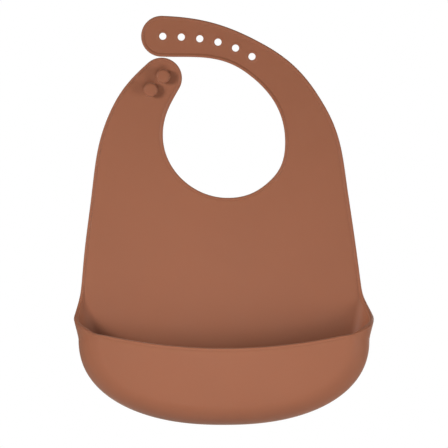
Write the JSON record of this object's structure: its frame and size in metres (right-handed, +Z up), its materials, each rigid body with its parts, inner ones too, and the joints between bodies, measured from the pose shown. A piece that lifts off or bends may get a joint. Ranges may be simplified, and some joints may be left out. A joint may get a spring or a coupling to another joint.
{
  "type": "silicone bib",
  "caption": "Soft silicone feeding bib with a deep crumb pocket along the bottom and an adjustable neck strap that closes with studs in a row of holes.",
  "frame": {"origin": "centre of the neck opening, on the middle plane of the sheet", "axes": "+Z up towards the straps as worn, -Y is the front with the pocket, +X towards the hole strap's shoulder"},
  "size_m": [0.2198, 0.0463, 0.2995],
  "materials": {
    "silicone": "matte",
    "silicone_bead": "matte"
  },
  "bodies": {
    "chest": {"chest_panel": "silicone", "neck_rim": "silicone_bead", "left_shoulder_rim": "silicone_bead", "right_shoulder_rim": "silicone_bead"},
    "lower_bib": {"lower_panel": "silicone", "left_side_rim": "silicone_bead", "right_side_rim": "silicone_bead", "pocket_floor": "silicone", "left_gusset": "silicone", "right_gusset": "silicone", "left_ear_rim": "silicone_bead", "right_ear_rim": "silicone_bead"},
    "pocket_face": {"pocket_front": "silicone", "pocket_lip": "silicone_bead"},
    "strap_near_shoulder": {"hole_strap_root": "silicone", "hole_strap_root_rims": "silicone_bead"},
    "strap_over_crest": {"hole_strap_middle": "silicone", "hole_strap_middle_rims": "silicone_bead", "middle_hole_collars": "silicone_bead"},
    "strap_tip": {"hole_strap_end": "silicone", "hole_strap_end_rim": "silicone_bead", "end_hole_collars": "silicone_bead"},
    "stud_side": {"stud_strap": "silicone", "stud_strap_rim": "silicone_bead", "upper_stud": "silicone_bead", "lower_stud": "silicone_bead"}
  },
  "joints": [
    {"name": "waist_fold", "type": "hinge", "parent": "chest", "child": "lower_bib", "pos_m": [0, 0, -0.0708], "axis": [-1, 0, 0], "range_deg": [-20, 45], "stiffness_Nm_per_rad": 0.06, "springref_deg": 9.17},
    {"name": "pocket_front_flex", "type": "hinge", "parent": "lower_bib", "child": "pocket_face", "pos_m": [0, -0.037, -0.1854], "axis": [-1, 0, 0], "range_deg": [-15, 30], "stiffness_Nm_per_rad": 0.1, "springref_deg": 0.29},
    {"name": "strap_root_flex", "type": "hinge", "parent": "chest", "child": "strap_near_shoulder", "pos_m": [0.06392, 0, 0.00249], "axis": [-0.9883, 0, -0.1527], "range_deg": [-25, 50], "stiffness_Nm_per_rad": 0.03},
    {"name": "strap_crest_flex", "type": "hinge", "parent": "strap_near_shoulder", "child": "strap_over_crest", "pos_m": [0.03295, 0, 0.04841], "axis": [-0.59, 0, -0.8074], "range_deg": [-25, 50], "stiffness_Nm_per_rad": 0.03},
    {"name": "strap_hole_flex", "type": "hinge", "parent": "strap_over_crest", "child": "strap_tip", "pos_m": [-0.01105, 0, 0.06886], "axis": [-0.1837, 0, -0.983], "range_deg": [-25, 50], "stiffness_Nm_per_rad": 0.03},
    {"name": "stud_strap_flex", "type": "hinge", "parent": "chest", "child": "stud_side", "pos_m": [-0.063, 0, 0.01], "axis": [-0.9659, 0, 0.2588], "range_deg": [-25, 60], "stiffness_Nm_per_rad": 0.03}
  ],
  "couplings": [
    {"joint": "strap_crest_flex", "follows": "strap_root_flex", "ratio": 1},
    {"joint": "strap_hole_flex", "follows": "strap_root_flex", "ratio": 1}
  ]
}
